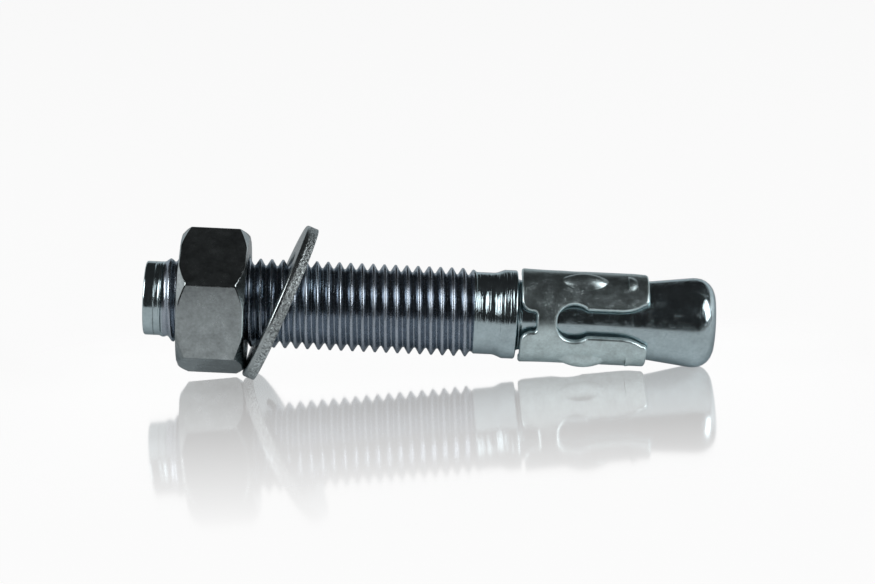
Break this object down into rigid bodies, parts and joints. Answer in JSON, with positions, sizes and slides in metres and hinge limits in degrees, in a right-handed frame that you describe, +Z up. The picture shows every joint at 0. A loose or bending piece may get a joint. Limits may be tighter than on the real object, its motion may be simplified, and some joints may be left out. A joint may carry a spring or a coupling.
{
  "type": "wedge anchor",
  "caption": "Torque-controlled expansion anchor: threaded stud with dog point and tapered cone, slotted expansion clip, flat washer and hexagon nut.",
  "frame": {"origin": "the surface the anchor lies on, under the middle of its bounding box", "axes": "+X runs level along the anchor from its dog point to its cone; the stud's axis slopes 4.3 degrees down towards +X, because the leaning washer lifts that end; +Z is up"},
  "size_m": [0.127, 0.0364, 0.035],
  "materials": {
    "stud_zinc": "bright zinc plated, turned and rolled",
    "clip_zinc": "bright zinc plated sheet, pressed and rolled",
    "washer_zinc": "bright zinc plated, tumbled",
    "nut_zinc": "bright zinc plated, cold formed"
  },
  "bodies": {
    "stud": {"cone_stud": "stud_zinc"},
    "clip": {"expansion_clip": "clip_zinc"},
    "washer": {"flat_washer": "washer_zinc"},
    "nut": {"hex_nut": "nut_zinc"}
  },
  "joints": [
    {"name": "clip_slide", "type": "slide", "parent": "stud", "child": "clip", "axis": [0.9974, 0, -0.072], "range_m": [-0.0007, 0]},
    {"name": "washer_travel", "type": "slide", "parent": "stud", "child": "washer", "axis": [0.9974, 0, -0.072], "range_m": [-0.005, 0.04]},
    {"name": "nut_turn", "type": "hinge", "parent": "washer", "child": "nut", "pos_m": [-0.04775, 0, 0.01764], "axis": [0.9974, 0, -0.072], "range_deg": [-720, 5760]}
  ],
  "couplings": [
    {"joint": "washer_travel", "follows": "nut_turn", "m_per_rad": 0.00039789}
  ]
}
